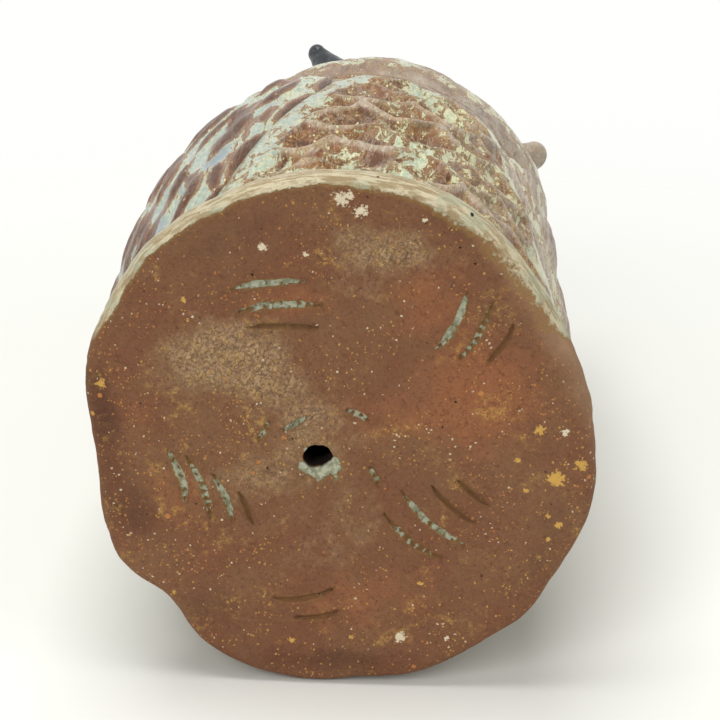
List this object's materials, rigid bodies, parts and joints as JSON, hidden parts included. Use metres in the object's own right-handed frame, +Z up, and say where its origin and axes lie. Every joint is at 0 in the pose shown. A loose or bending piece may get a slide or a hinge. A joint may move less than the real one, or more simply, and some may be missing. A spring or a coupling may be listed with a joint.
{
  "type": "ceramic owl figurine",
  "caption": "hollow hand-built stoneware owl with a bare clay base slab, carved feather body, domed head, ear tufts, wings and pressed-on face",
  "frame": {"origin": "on the standing plane, at the middle of the object's box in X and Y, which is the middle of the base slab", "axes": "+Z up from the base slab to the crown, -Y the way the owl faces, +X the owl's own left side"},
  "size_m": [0.1014, 0.1056, 0.1785],
  "materials": {
    "bare_clay": "matte",
    "brown_mint_glaze": "satin",
    "mint_glaze": "gloss",
    "black_glaze": "gloss"
  },
  "bodies": {
    "root": {"base_slab": "bare_clay", "body_wall": "brown_mint_glaze", "head_shell": "brown_mint_glaze", "left_wing": "mint_glaze", "right_wing": "brown_mint_glaze", "left_ear_tuft": "black_glaze", "right_ear_tuft": "brown_mint_glaze", "beak": "black_glaze", "left_eye_disc": "mint_glaze", "right_eye_disc": "mint_glaze", "left_eyeball": "black_glaze", "right_eyeball": "black_glaze"}
  },
  "joints": []
}
